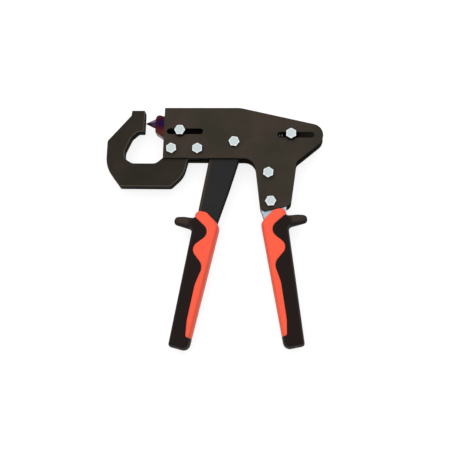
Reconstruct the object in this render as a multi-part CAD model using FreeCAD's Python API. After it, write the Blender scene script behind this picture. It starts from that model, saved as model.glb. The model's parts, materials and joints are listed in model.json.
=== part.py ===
import FreeCAD, Part
import math
import os
from FreeCAD import Vector

# One-hand section-setting plier, lying flat. Millimetres.
# While it is drawn, X and Y start at the lever's pivot and Z at the tool's middle plane:
# the jaw points to -X, the handles to -Y, and the front plate faces +Z.

# Clamped stack
plate_thickness = 3.0
jaw_thickness = 12.0
slide_gap = 0.15
bolt_hole_gap = 0.2
running_gap = 0.05
fixed_gap = 0.3

# Side plates
plate_front = 75.0
plate_top = 38.5
plate_bottom = 17.5
plate_shoulder = 5.6
plate_corner = 1.0
plate_edge = 0.35
rear_radius = 12.4
belly_slope = 40.5
leg_fillet = 12.5
shoulder_radius = 30.0
crotch_radius = 5.0
leg_corner_across = 21.3
leg_left_across = 28.8
leg_left_down = 75.2
leg_right_across = 59.6
leg_right_down = 67.9
leg_lean = 6.9
leg_foot_radius = 7.0
leg_foot_left_radius = 4.8

# Bolts: distances from the pivot
jaw_bolt_front = 66.0
jaw_bolt_rear = 38.5
jaw_bolts_down = 7.7
upper_handle_bolt_across = 36.4
upper_handle_bolt_down = 33.7
lower_handle_bolt_across = 39.3
lower_handle_bolt_down = 64.4
front_guide_across = 57.5
front_guide_up = 12.0
rear_guide_across = 59.5
rear_guide_up = 8.4

# M6 bolts, nuts and washers
bolt_diameter = 6.0
hex_width = 10.0
hex_bevel = 30.0
head_height = 4.0
bolt_tip = 0.8
lock_nut_height = 6.0
collar_height = 1.4
collar_width = 8.8
insert_diameter = 7.6
insert_mouth = 6.7
collar_lip = 0.3
jam_nut_height = 3.2
thread_show = 1.0
jam_thread_show = 0.5
washer_width = 12.0
washer_height = 1.6
washer_edge = 0.25
nut_turn = 10.0
jaw_bolt_turns = [38.0, 30.0]
handle_bolt_turns = [25.0, 3.0]
pivot_bolt_turn = -7.0
guide_bolt_turns = [0.0, 30.0]

# Guide slots: travel of the bolt's centre towards the jaw and away from it
forward_travel = 11.1
backward_travel = 21.0

# Jaw
arm_top = 36.6
arm_face = 97.0
arm_width = 13.9
arm_bottom = 12.9
jaw_back = 135.6
jaw_bottom = 47.9
arm_ledge = 6.3
arm_corner = 0.8
throat_brow_across = 110.2
throat_brow_up = 6.8
throat_back = 116.8
throat_cheek_down = 8.5
throat_heel_across = 108.0
throat_heel_down = 17.0
throat_floor = 22.7
throat_toe_across = 82.8
throat_toe_down = 15.9
throat_radius = 9.0
plate_step = 0.2
tail_top = 6.4
tail_bottom = 16.0
tail_end = 31.3
tail_front = 48.4
tail_stop_radius = 2.0
belly_across = 53.3
belly_down = 35.6
belly_radius = 26.0
floor_rear = 66.0
floor_front = 119.9
floor_radius = 5.0
back_foot_down = 27.2
back_foot_radius = 34.0
back_head_up = 2.2
arm_shoulder_up = 31.0
arm_shoulder_out = 0.5
jaw_edge = 0.6
die_diameter = 10.2
jaw_corner = 1.0
jaw_round = 3.0

# Punch
punch_axis = 23.6
tip_gap = 0.3
point_length = 11.9
point_side = 4.25
point_foot = 3.9
point_hollow = 0.05
head_back = 72.0
head_top = 33.3
head_crown = 3.0
head_nose = 12.3
head_step = 5.0
head_lift = 0.2
head_edge = 0.5
head_nose_radius = 1.2
head_top_radius = 4.0
head_crown_radius = 6.0
tang_length = 22.5
tang_thickness = 6.0
tang_room = 0.2

# Ram
ram_gap = 0.6
ram_height = 27.0
ram_nose_end = 18.0
tongue_bottom = 16.6
tongue_gap = 0.4
ram_block_length = 16.0
ram_block_bottom = 1.5
ram_corner = 2.0
ram_slope_radius = 10.0
tongue_root = 6.0
join_depth = 1.0

# Lever
pin_arm = 26.0
drive_pin_diameter = 7.0
yoke_side_gap = 0.15
yoke_end_gap = 0.6
lever_squeeze = 23.0
lever_open = 20.0
lever_side_gap = 0.2
channel_wall = 2.0
channel_bend = 4.5
ear_radius = 6.9
ear_margin = 0.3
lever_web_top = 18.5
sleeve_diameter = 9.0
lever_neck_right = 10.6
lever_neck_left = 10.4
lever_neck_right_down = 1.0
lever_neck_left_down = 4.0
lever_shoulder_across = 26.6
lever_shoulder_down = 16.5
lever_waist_across = 3.9
lever_waist_down = 51.4
lever_waist_radius = 60.0
lever_neck_radius = 14.0

# Fixed handle
handle_top_down = 24.0
handle_top_left_across = 22.2
handle_top_right_across = 57.0
handle_side_left_across = 28.1
handle_side_left_down = 72.6
handle_side_right_across = 55.5
handle_side_right_down = 68.0
handle_top_radius = 5.5
handle_side_radius = 25.0
spacer_diameter = 10.0

# Grips: along each handle from its reference point, and outwards from the handle's line
lever_grip_across = 28.35
lever_grip_down = 94.5
lever_grip_lean = 10.4
fixed_grip_across = 44.5
fixed_grip_down = 90.6
fixed_grip_lean = 9.5
grip_thickness = 22.0
grip_rounding = 5.5
grip_top = 18.9
grip_peak = 1.5
grip_shoulder = 7.6
grip_end = 124.9
grip_end_slant = 1.3
grip_wide = 14.4
grip_outside = 13.5
grip_narrow = 10.3
grip_heel_wide = 10.9
grip_corner = 6.0
grip_heel_radius = 3.0
grip_end_radius = 7.0
grip_shoulder_radius = 9.0
guard_reach = 33.8
guard_root = 8.0
guard_thickness = 17.0
guard_rounding = 3.2
guard_tip_radius = 4.5
guard_top_root = 11.9
guard_top_tip = 9.4
guard_under_root = 1.8
guard_under_tip = -0.3
insert_length = 76.0
insert_width = 15.0
insert_corner = 1.0
channel_heel = 11.2
heel_place = 8.0
heel_radius = 12.0
lever_neck_place = 4.0
lever_neck_extra = 3.4
lever_neck_inner_radius = 30.0
handle_neck_place = 2.0
handle_neck_extra = 2.5
handle_neck_radius = 20.0
grip_fit = 0.2

# Seam between a grip's two mouldings: down the grip's line, outwards, and radius
seam_top = -11.0
seam_top_radius = 3.0
seam_waves = [(0.5, -8.2, 7.0), (21.6, 10.2, 8.0), (36.6, -6.4, 6.5)]
seam_run = [(58.0, -3.1, 40.0), (96.0, -3.2, 40.0)]
seam_foot = (111.8, -5.4, 2.5)

# Return spring
spring_wire = 1.2
spring_diameter = 9.8
spring_line = 10.5
seat_place = 15.0
seat_thickness = 1.6
seat_ring = 15.0
seat_rod = 5.6
rod_edge = 0.6
rod_length = 20.0
stem_below = 5.0
stem_above = 3.0
end_pitch = 1.7
active_turns = 8.75
spring_end_gap = 0.1

half_stack = jaw_thickness / 2
outer_face = half_stack + plate_thickness
hole_diameter = bolt_diameter + 2 * bolt_hole_gap
nut_length = lock_nut_height + thread_show
ram_half = half_stack - slide_gap
lever_half = half_stack - lever_side_gap
ear_inside = lever_half - channel_wall
tongue_half = ear_inside - tongue_gap
ram_bottom = tail_top + ram_gap
ram_top = ram_bottom + ram_height
head_bottom = ram_bottom + head_lift
mean_arm_share = 0.98
ram_mm_per_radian = mean_arm_share * pin_arm

pivot = Vector(0, 0, 0)
jaw_bolt_places = [Vector(-jaw_bolt_front, -jaw_bolts_down, 0),
                   Vector(-jaw_bolt_rear, -jaw_bolts_down, 0)]
handle_bolt_places = [Vector(upper_handle_bolt_across, -upper_handle_bolt_down, 0),
                      Vector(lower_handle_bolt_across, -lower_handle_bolt_down, 0)]
front_guide = Vector(-front_guide_across, front_guide_up, 0)
rear_guide = Vector(rear_guide_across, rear_guide_up, 0)
lever_shoulder = Vector(-lever_shoulder_across, -lever_shoulder_down, 0)
lever_grip_place = Vector(-lever_grip_across, -lever_grip_down, 0)
fixed_grip_place = Vector(fixed_grip_across, -fixed_grip_down, 0)
spring_back = rear_guide.x - ram_block_length / 2


def polar(angle):
    return Vector(math.cos(math.radians(angle)), math.sin(math.radians(angle)), 0)


def meet(point, angle, other, other_angle):
    """Where a line through point at angle meets a line through other at other_angle."""
    along, across = polar(angle), polar(other_angle)
    gap = other - point
    turn = along.x * across.y - along.y * across.x
    return point + along * ((gap.x * across.y - gap.y * across.x) / turn)


def outline(corners):
    """Closed wire through corners (x, y, radius), each rounded by an arc of its radius."""
    places = [Vector(x, y, 0) for x, y, radius in corners]
    edges = []
    leaves = []
    for index, (x, y, radius) in enumerate(corners):
        corner = places[index]
        back = (places[index - 1] - corner).normalize()
        ahead = (places[(index + 1) % len(places)] - corner).normalize()
        half = back.getAngle(ahead) / 2
        reach = radius / math.tan(half)
        enter, leave = corner + back * reach, corner + ahead * reach
        if radius > 0:
            inward = (back + ahead).normalize()
            middle = corner + inward * (radius / math.sin(half) - radius)
            edges.append(Part.Arc(enter, middle, leave).toShape())
        leaves.append((enter, leave))
    for index, (enter, leave) in enumerate(leaves):
        start = leaves[index - 1][1]
        if start.distanceToPoint(enter) > 1e-6:
            edges.append(Part.LineSegment(start, enter).toShape())
    return Part.Wire(Part.__sortEdges__(edges))


def prism(corners, low, high):
    face = Part.Face(outline(corners))
    face.translate(Vector(0, 0, low))
    return face.extrude(Vector(0, 0, high - low))


def bar(low, high):
    size = high - low
    return Part.makeBox(size.x, size.y, size.z, low)


def upright(place, diameter, low, high):
    return Part.makeCylinder(diameter / 2, high - low, Vector(place.x, place.y, low))


def slot(place, width, low, high):
    left = place.x - forward_travel - width / 2
    right = place.x + backward_travel + width / 2
    bottom, top = place.y - width / 2, place.y + width / 2
    corners = [(left, bottom, width / 2), (right, bottom, width / 2)]
    corners += [(right, top, width / 2), (left, top, width / 2)]
    return prism(corners, low, high)


def rim(shape, level):
    """Edges of the shape's outer outline at one height."""
    flats = [f for f in shape.Faces if all(abs(v.Z - level) < 1e-6 for v in f.Vertexes)]
    face = max(flats, key=lambda f: f.Area)
    return face.OuterWire.Edges


def hexagon(place, angle, low, high, both_ends):
    """Hexagonal prism, its corners bevelled at the high end or at both ends."""
    corner = hex_width / math.sqrt(3)
    points = [place + polar(60 * i + angle) * corner for i in range(6)]
    body = prism([(p.x, p.y, 0) for p in points], low, high)
    inset = corner - hex_width / 2
    drop = inset * math.tan(math.radians(hex_bevel))
    profile = [(0, low), (corner, low), (corner, high - drop), (corner - inset, high), (0, high)]
    if both_ends:
        profile[1:2] = [(corner - inset, low), (corner, low + drop)]
    ring = [Vector(radius, 0, z) for radius, z in profile]
    turning = Part.Face(Part.makePolygon(ring + ring[:1])).revolve(pivot, Vector(0, 0, 1), 360)
    turning.translate(place)
    return body.common(turning)


def hex_bolt(place, angle, face, end):
    """Head on the plane face, shank down to the plane end, with a bevelled tip."""
    head = hexagon(place, angle, face, face + head_height, False)
    shank = upright(place, bolt_diameter, end + bolt_tip, face + join_depth)
    point = Part.makeCone(bolt_diameter / 2 - bolt_tip, bolt_diameter / 2, bolt_tip,
                          Vector(place.x, place.y, end))
    return head.fuse([shank, point]).removeSplitter()


def lock_nut(place, angle, face):
    """Nut under the plane face, with a thin collar that holds its insert."""
    bottom = face - lock_nut_height
    body = hexagon(place, angle, bottom + collar_height, face, True)
    collar = upright(place, collar_width, bottom, bottom + collar_height + join_depth)
    bore = upright(place, bolt_diameter + 2 * running_gap, bottom, face)
    pocket_low = bottom + collar_lip
    pocket = upright(place, insert_diameter, pocket_low, pocket_low + collar_height)
    mouth = upright(place, insert_mouth, bottom, pocket_low)
    return body.fuse(collar).removeSplitter().cut(bore).cut(pocket).cut(mouth)


def nut_insert(place, face):
    low = face - lock_nut_height + collar_lip
    high = low + collar_height
    ring = upright(place, insert_diameter - 2 * running_gap, low, high)
    return ring.cut(upright(place, bolt_diameter + 2 * running_gap, low, high))


def group(solids):
    return solids[0] if len(solids) == 1 else Part.makeCompound(solids)


def plate_corners():
    shoulder = Vector(plate_shoulder, plate_top, 0)
    right_foot = Vector(leg_right_across, -leg_right_down, 0)
    centre = Vector(rear_guide.x + backward_travel, rear_guide.y, 0)
    away = centre - shoulder
    top_angle = math.degrees(math.atan2(away.y, away.x) + math.asin(rear_radius / away.Length))
    belly_point = centre + polar(belly_slope - 90) * rear_radius
    rear = meet(shoulder, top_angle, belly_point, belly_slope)
    crotch = meet(belly_point, belly_slope, right_foot, 90 - leg_lean)
    return [
        (-plate_front, plate_top, plate_corner),
        (shoulder.x, shoulder.y, shoulder_radius),
        (rear.x, rear.y, rear_radius),
        (crotch.x, crotch.y, crotch_radius),
        (right_foot.x, right_foot.y, leg_foot_radius),
        (leg_left_across, -leg_left_down, leg_foot_left_radius),
        (leg_corner_across, -plate_bottom, leg_fillet),
        (-plate_front, -plate_bottom, plate_corner),
    ]


def side_plate(low, outside):
    """Plate from the plane low up, with its outside face's edge broken."""
    plate = prism(plate_corners(), low, low + plate_thickness)
    plate = plate.makeChamfer(plate_edge, rim(plate, outside))
    for place in jaw_bolt_places + handle_bolt_places + [pivot]:
        plate = plate.cut(upright(place, hole_diameter, low, low + plate_thickness))
    for place in (front_guide, rear_guide):
        plate = plate.cut(slot(place, hole_diameter, low, low + plate_thickness))
    return plate


def opened_lever_edge():
    """Line that the lever's outer edge reaches when it is fully open, with the gap to the jaw."""
    heel = grip_point(-1, lever_grip_place, lever_grip_lean, -heel_place, channel_heel)
    along = (lever_shoulder - heel).normalize()
    point = lever_shoulder + Vector(-along.y, along.x, 0) * fixed_gap
    turn = FreeCAD.Rotation(Vector(0, 0, 1), -lever_open)
    opened = turn.multVec(along)
    return turn.multVec(point), math.degrees(math.atan2(opened.y, opened.x))


def jaw():
    """C-shaped jaw: arm with the die hole, back, floor, and a tail between the plates."""
    arm_back = arm_face + arm_width
    edge_point, edge_angle = opened_lever_edge()
    stop_top = meet(edge_point, edge_angle, Vector(-tail_end, 0, 0), 90)
    stop_foot = meet(edge_point, edge_angle, Vector(0, -tail_bottom, 0), 0)
    corners = [
        (-arm_back, arm_top, arm_corner),
        (-arm_face, arm_top, arm_corner),
        (-arm_face, arm_bottom, arm_corner),
        (-arm_face - arm_ledge, arm_bottom, jaw_round),
        (-throat_brow_across, throat_brow_up, throat_radius),
        (-throat_back, -throat_cheek_down, throat_radius),
        (-throat_back, -throat_heel_down, throat_radius),
        (-throat_heel_across, -throat_floor, throat_radius),
        (-throat_toe_across, -throat_floor, throat_radius),
        (-plate_front + plate_step, -throat_toe_down, jaw_round),
        (-plate_front + plate_step, tail_top, jaw_corner),
        (-tail_end, tail_top, jaw_corner),
        (-tail_end, stop_top.y, tail_stop_radius),
        (stop_foot.x, stop_foot.y, jaw_corner),
        (-tail_front, -tail_bottom, jaw_round),
        (-belly_across, -belly_down, belly_radius),
        (-floor_rear, -jaw_bottom, floor_radius),
        (-floor_front, -jaw_bottom, jaw_round),
        (-jaw_back, -back_foot_down, back_foot_radius),
        (-jaw_back, back_head_up, jaw_round),
        (-arm_back - arm_shoulder_out, arm_shoulder_up, jaw_round),
    ]
    body = prism(corners, -half_stack, half_stack)
    body = body.makeChamfer(jaw_edge, rim(body, half_stack) + rim(body, -half_stack))
    for place in jaw_bolt_places:
        body = body.cut(upright(place, hole_diameter, -half_stack, half_stack))
    die = Part.makeCylinder(die_diameter / 2, 2 * arm_width, Vector(-arm_face + arm_width / 2,
                            punch_axis, 0), Vector(-1, 0, 0))
    return body.cut(die)


def punch():
    """Hollow-flanked square point, standing on its corner, on a crowned head with a tang."""
    tip = -arm_face + tip_gap
    base = tip + point_length
    chord = Vector(point_length, point_side, 0)
    outward = Vector(point_side, -point_length, 0).normalize()
    middle = chord * 0.5 + outward * point_hollow
    flank = Part.Arc(pivot, middle, chord).toShape()
    opposite = flank.mirror(pivot, Vector(0, 1, 0))
    foot = Vector(point_length + join_depth, point_foot, 0)
    foot_mirror = Vector(foot.x, -foot.y, 0)
    closing = [(chord, foot), (foot, foot_mirror), (foot_mirror, Vector(chord.x, -chord.y, 0))]
    edges = [flank, opposite] + [Part.LineSegment(a, b).toShape() for a, b in closing]
    face = Part.Face(Part.Wire(Part.__sortEdges__(edges)))
    wedge = face.extrude(Vector(0, 0, 4 * point_side))
    wedge.translate(Vector(0, 0, -2 * point_side))
    wedge.rotate(pivot, Vector(1, 0, 0), 45)
    other = wedge.copy()
    other.rotate(pivot, Vector(1, 0, 0), 90)
    point = wedge.common(other)
    point.translate(Vector(tip, punch_axis, 0))
    head = prism([
        (base, head_nose, head_nose_radius),
        (base, head_top, head_top_radius),
        (-head_back - head_step, head_top - head_crown, head_crown_radius),
        (-head_back, head_top - head_crown, 0),
        (-head_back, head_bottom, 0),
        (-head_back - head_step, head_bottom, ram_corner),
    ], -ram_half, ram_half)
    head = head.makeChamfer(head_edge, rim(head, ram_half) + rim(head, -ram_half))
    tang = bar(Vector(-head_back - join_depth, head_bottom, -tang_thickness / 2),
               Vector(-head_back + tang_length, head_top - head_crown, tang_thickness / 2))
    body = head.fuse([point, tang]).removeSplitter()
    return body.cut(upright(front_guide, bolt_diameter + 2 * running_gap, -ram_half, ram_half))


def tang_fork():
    """Slot right through the ram's nose, for the punch's tang."""
    half = tang_thickness / 2 + tang_room
    return bar(Vector(-head_back - join_depth, ram_bottom - join_depth, -half),
               Vector(-head_back + tang_length + tang_room, ram_top + join_depth, half))


def ram_slope(x):
    """Height of the ram's top edge where it runs along the plates' falling edge."""
    corners = plate_corners()
    (x0, y0, _), (x1, y1, _) = corners[1], corners[2]
    return ram_top + (y1 - y0) * (x - x0) / (x1 - x0)


def ram():
    """Bar between the plates: forked nose, thin tongue with the yoke slot, rear block."""
    nose = prism([
        (-head_back, ram_bottom, 0),
        (-head_back, ram_top, 0),
        (-ram_nose_end, ram_top, ram_corner),
        (-ram_nose_end, ram_bottom, ram_corner),
    ], -ram_half, ram_half)
    rear_end = rear_guide.x + ram_block_length / 2
    tongue_end = rear_end - ram_corner
    tongue = prism([
        (-ram_nose_end - tongue_root, tongue_bottom, ram_corner),
        (-ram_nose_end - tongue_root, ram_top, 0),
        (plate_shoulder, ram_top, ram_slope_radius),
        (tongue_end, ram_slope(tongue_end), ram_corner),
        (tongue_end, tongue_bottom, 0),
    ], -tongue_half, tongue_half)
    block = prism([
        (spring_back, ram_block_bottom, ram_corner),
        (spring_back, ram_slope(spring_back), ram_corner),
        (rear_end, ram_slope(rear_end), ram_corner),
        (rear_end, ram_block_bottom, ram_corner),
    ], -ram_half, ram_half)
    body = nose.fuse([tongue, block]).removeSplitter()
    half_slot = drive_pin_diameter / 2 + yoke_side_gap
    lowest = pin_arm * math.cos(math.radians(lever_squeeze)) - half_slot - yoke_end_gap
    highest = pin_arm + half_slot + yoke_end_gap
    yoke = prism([
        (-half_slot, lowest, half_slot),
        (half_slot, lowest, half_slot),
        (half_slot, highest, half_slot),
        (-half_slot, highest, half_slot),
    ], -ram_half, ram_half)
    body = body.cut(yoke).cut(tang_fork())
    for place in (front_guide, rear_guide):
        body = body.cut(upright(place, bolt_diameter + 2 * running_gap, -ram_half, ram_half))
    return body


def grip_point(side, place, lean, down, out):
    """Point of the drawing from a grip's own measures: down its line and outwards."""
    along = Vector(side * math.sin(math.radians(lean)), -math.cos(math.radians(lean)), 0)
    outward = Vector(side * math.cos(math.radians(lean)), math.sin(math.radians(lean)), 0)
    return place + along * down + outward * out


def grip_corners(side, place, lean, corners):
    points = [(grip_point(side, place, lean, down, out), radius) for down, out, radius in corners]
    return [(point.x, point.y, radius) for point, radius in points]


def edges_on(shape, start, end, half):
    """Straight edges that lie over the line from start to end, on either face."""
    along = (end - start).normalize()
    found = []
    for edge in shape.Edges:
        ends = [v.Point for v in edge.Vertexes]
        if len(ends) < 2 or abs(abs(ends[0].z) - half) > 1e-6 or abs(abs(ends[1].z) - half) > 1e-6:
            continue
        flat = [Vector(p.x, p.y, 0) for p in ends]
        if ends[0].z * ends[1].z > 0 and all((p - start).cross(along).Length < 1e-3 for p in flat):
            found.append(edge)
    return found


def lever_outline():
    half = insert_width / 2
    foot_out = grip_point(-1, lever_grip_place, lever_grip_lean, insert_length, half)
    foot_in = grip_point(-1, lever_grip_place, lever_grip_lean, insert_length, -half)
    neck_in = grip_point(-1, lever_grip_place, lever_grip_lean,
                         -lever_neck_place, -half - lever_neck_extra)
    heel_out = grip_point(-1, lever_grip_place, lever_grip_lean, -heel_place, channel_heel)
    return [
        (-ear_radius - ear_margin, pin_arm + ear_radius, ear_radius),
        (ear_radius + ear_margin, pin_arm + ear_radius, ear_radius),
        (lever_neck_right, -lever_neck_right_down, lever_neck_radius),
        (-lever_waist_across, -lever_waist_down, lever_waist_radius),
        (neck_in.x, neck_in.y, lever_neck_inner_radius),
        (foot_in.x, foot_in.y, insert_corner),
        (foot_out.x, foot_out.y, insert_corner),
        (heel_out.x, heel_out.y, heel_radius),
        (lever_shoulder.x, lever_shoulder.y, jaw_round),
        (-lever_neck_left, -lever_neck_left_down, lever_neck_radius),
    ]


def lever_channel():
    corners = lever_outline()
    heel = Vector(corners[7][0], corners[7][1], 0)
    foot = Vector(corners[6][0], corners[6][1], 0)
    along = (lever_shoulder - heel).normalize()
    across = Vector(along.y, -along.x, 0) * channel_wall
    in_heel = heel + across
    below = foot + (foot - heel).normalize() * join_depth + across
    web_end = in_heel + along * ((-lever_web_top - in_heel.y) / along.y)
    clear = 2 * pin_arm
    pocket = [(below.x, below.y, 0), (in_heel.x, in_heel.y, heel_radius), (web_end.x, web_end.y, 0),
              (web_end.x - clear, web_end.y, 0), (web_end.x - clear, clear, 0), (clear, clear, 0),
              (clear, below.y, 0)]
    outer = prism(corners, -lever_half, lever_half)
    outer = outer.makeFillet(channel_bend, edges_on(outer, heel, lever_shoulder, lever_half))
    channel = outer.cut(prism(pocket, -ear_inside, ear_inside))
    bore = sleeve_diameter + 2 * running_gap
    channel = channel.cut(upright(pivot, bore, -lever_half, lever_half))
    pin_hole = drive_pin_diameter + 2 * running_gap
    return channel.cut(upright(Vector(0, pin_arm, 0), pin_hole, -lever_half, lever_half))


def handle_outline():
    half = insert_width / 2
    foot_out = grip_point(1, fixed_grip_place, fixed_grip_lean, insert_length, half)
    foot_in = grip_point(1, fixed_grip_place, fixed_grip_lean, insert_length, -half)
    neck_in = grip_point(1, fixed_grip_place, fixed_grip_lean,
                         -handle_neck_place, -half - handle_neck_extra)
    heel_out = grip_point(1, fixed_grip_place, fixed_grip_lean, -heel_place, channel_heel)
    return [
        (handle_top_left_across, -handle_top_down, handle_top_radius),
        (handle_top_right_across, -handle_top_down, handle_top_radius),
        (handle_side_right_across, -handle_side_right_down, handle_side_radius),
        (heel_out.x, heel_out.y, heel_radius),
        (foot_out.x, foot_out.y, insert_corner),
        (foot_in.x, foot_in.y, insert_corner),
        (neck_in.x, neck_in.y, handle_neck_radius),
        (handle_side_left_across, -handle_side_left_down, handle_side_radius),
    ]


def handle_channel():
    corners = handle_outline()
    top = Vector(corners[1][0], corners[1][1], 0)
    bend = Vector(corners[2][0], corners[2][1], 0)
    heel = Vector(corners[3][0], corners[3][1], 0)
    foot = Vector(corners[4][0], corners[4][1], 0)
    outer = prism(corners, -half_stack, half_stack)
    outer = outer.makeFillet(channel_bend, edges_on(outer, top, bend, half_stack))
    inset = Vector(-channel_wall, 0, 0)
    above = top + Vector(0, join_depth, 0) + inset
    inner_bend, inner_heel = bend + inset, heel + inset
    below = foot + inset + (foot - heel).normalize() * join_depth
    clear = 2 * handle_top_right_across
    pocket = [(above.x, above.y, 0), (inner_bend.x, inner_bend.y, handle_side_radius),
              (inner_heel.x, inner_heel.y, heel_radius), (below.x, below.y, 0),
              (below.x - clear, below.y, 0), (below.x - clear, above.y, 0)]
    channel = outer.cut(prism(pocket, -half_stack + channel_wall, half_stack - channel_wall))
    for place in handle_bolt_places:
        channel = channel.cut(upright(place, hole_diameter, -half_stack, half_stack))
    return channel


def grip_seam():
    """Outline of the coloured core, in the grip's measures: the wavy seam and then far round."""
    far = 2 * grip_wide
    start = [(seam_top, far, 0), (seam_top, grip_wide, seam_top_radius)]
    round_inside = [(seam_foot[0], -far, 0), (-grip_top - far, -far, 0), (-grip_top - far, far, 0)]
    return start + seam_waves + seam_run + [seam_foot] + round_inside


def grip_solids(side, place, lean, handle_corners, handle_half):
    """Two moulded parts on one handle: coloured core, and black cover with the finger guard."""
    half = grip_thickness / 2
    body = prism(grip_corners(side, place, lean, [
        (-grip_top, grip_outside, grip_corner),
        (grip_end - grip_end_slant, grip_heel_wide, grip_heel_radius),
        (grip_end, -grip_narrow, grip_end_radius),
        (-grip_shoulder, -grip_wide, grip_shoulder_radius),
        (-grip_top, grip_peak, grip_corner),
    ]), -half, half)
    body = body.makeFillet(grip_rounding, rim(body, half) + rim(body, -half))
    wing = prism(grip_corners(side, place, lean, [
        (-guard_top_root, guard_root, 0),
        (-guard_top_tip, guard_reach, guard_tip_radius),
        (guard_under_tip, guard_reach, guard_tip_radius),
        (guard_under_root, guard_root, 0),
    ]), -guard_thickness / 2, guard_thickness / 2)
    high, low = guard_thickness / 2, -guard_thickness / 2
    wing = wing.makeFillet(guard_rounding, rim(wing, high) + rim(wing, low))
    seam = prism(grip_corners(side, place, lean, grip_seam()), -2 * half, 2 * half)
    handle = prism(grown(handle_corners), -handle_half - grip_fit, handle_half + grip_fit)
    core = body.common(seam).cut(handle)
    cover = body.fuse(wing).removeSplitter().cut(seam).cut(handle)
    return core, cover


def grown(corners):
    """The outline moved outwards by the grip's fit."""
    face = Part.Face(outline([(x, y, 0) for x, y, radius in corners]))
    wide = face.makeOffset2D(grip_fit, join=2)
    places = [v.Point for v in wide.OuterWire.OrderedVertexes]
    return [(p.x, p.y, 0) for p in places]


def spring_seat():
    """Ring on the pivot's sleeve, with a stem that ends in the spring's flange and its rod."""
    thick = tongue_half
    ring = upright(pivot, seat_ring, -thick, thick)
    stem = bar(Vector(0, spring_line - stem_below, -thick),
               Vector(seat_place, spring_line + stem_above, thick))
    side = Vector(1, 0, 0)
    flange = Part.makeCylinder(spring_diameter / 2, seat_thickness,
                               Vector(seat_place, spring_line, 0), side)
    rod = Part.makeCylinder(seat_rod / 2, seat_thickness + rod_length,
                            Vector(seat_place, spring_line, 0), side)
    rod = rod.makeChamfer(rod_edge, [e for e in rod.Edges if len(e.Vertexes) == 1
                                and e.BoundBox.XMin > seat_place + rod_length])
    body = ring.fuse([stem, flange, rod]).removeSplitter()
    bore = sleeve_diameter + 2 * running_gap
    return body.cut(upright(pivot, bore, -thick, thick))


def spring_place(turn):
    """Point and direction of the coil's centre line after so many turns."""
    radius = (spring_diameter - spring_wire) / 2
    low = seat_place + seat_thickness + spring_end_gap + spring_wire / 2
    high = spring_back - spring_end_gap - spring_wire / 2
    pitch = (high - low - 2 * end_pitch) / active_turns
    if turn < 1:
        x, rise = low + end_pitch * turn, end_pitch
    elif turn < 1 + active_turns:
        x, rise = low + end_pitch + pitch * (turn - 1), pitch
    else:
        x, rise = high - end_pitch * (active_turns + 2 - turn), end_pitch
    angle = 2 * math.pi * turn
    place = Vector(x, spring_line + radius * math.cos(angle), radius * math.sin(angle))
    around = Vector(rise, -2 * math.pi * radius * math.sin(angle),
                    2 * math.pi * radius * math.cos(angle))
    return place, around.normalize()


def biarc(start, leave, end, arrive):
    """Two tangent arcs from start to end, with the given directions at each."""
    gap = end - start
    both = leave + arrive
    a = both.dot(both) - 4
    b = -2 * gap.dot(both)
    c = gap.dot(gap)
    reach = (-b - math.sqrt(b * b - 4 * a * c)) / (2 * a)
    if reach < 0:
        reach = (-b + math.sqrt(b * b - 4 * a * c)) / (2 * a)
    first, second = start + leave * reach, end - arrive * reach
    joint = (first + second) * 0.5
    arcs = []
    for low, corner, high in ((start, first, joint), (joint, second, end)):
        back, ahead = (low - corner).normalize(), (high - corner).normalize()
        half = back.getAngle(ahead) / 2
        size = reach * math.tan(half)
        centre_way = (back + ahead).normalize()
        middle = corner + centre_way * (size / math.sin(half) - size)
        arcs.append(Part.Arc(low, middle, high).toShape())
    return arcs


def return_spring():
    """Coil spring of round wire with closed end turns, on arcs of under a quarter turn."""
    quarters = int(round(4 * (active_turns + 2)))
    edges = []
    for index in range(quarters):
        start, leave = spring_place(index / 4)
        end, arrive = spring_place((index + 1) / 4)
        edges += biarc(start, leave, end, arrive)
    path = Part.Wire(edges)
    start, leave = spring_place(0)
    section = Part.Wire([Part.Circle(start, leave, spring_wire / 2).toShape()])
    coil = path.makePipeShell([section], True, False)
    samples = [spring_place(i / 16)[0] for i in range(4 * quarters + 1)]
    gap = min(a.distanceToPoint(b) for i, a in enumerate(samples) for b in samples[i + 8:])
    print("spring: least gap to itself %.2f mm" % (gap - spring_wire))
    length = path.Length * math.pi * (spring_wire / 2) ** 2
    print("spring: volume %.1f mm3, wire times length %.1f mm3" % (coil.Volume, length))
    return coil


def guide_bolt(place, angle):
    face = outer_face + slide_gap + washer_height
    return hex_bolt(place, angle, face, -face - jam_nut_height - jam_thread_show)


def guide_washers():
    solids = []
    for place in (front_guide, rear_guide):
        for low in (outer_face + slide_gap, -outer_face - slide_gap - washer_height):
            ring = upright(place, washer_width, low, low + washer_height)
            ring = ring.makeChamfer(washer_edge, [e for e in ring.Edges if len(e.Vertexes) == 1])
            solids.append(ring.cut(upright(place, hole_diameter, low, low + washer_height)))
    return group(solids)


def guide_nuts():
    face = -outer_face - slide_gap - washer_height
    solids = []
    for place in (front_guide, rear_guide):
        nut = hexagon(place, 0, face - jam_nut_height, face, True)
        bore = upright(place, bolt_diameter + 2 * running_gap, face - jam_nut_height, face)
        solids.append(nut.cut(bore))
    return group(solids)


def frame_bolts(places, angles):
    end = -outer_face - nut_length
    return group([hex_bolt(p, angle, outer_face, end) for p, angle in zip(places, angles)])


def lock_nuts(places):
    return group([lock_nut(place, nut_turn, -outer_face) for place in places])


def tube(place, outside, inside, half):
    return upright(place, outside, -half, half).cut(upright(place, inside, -half, half))


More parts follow.
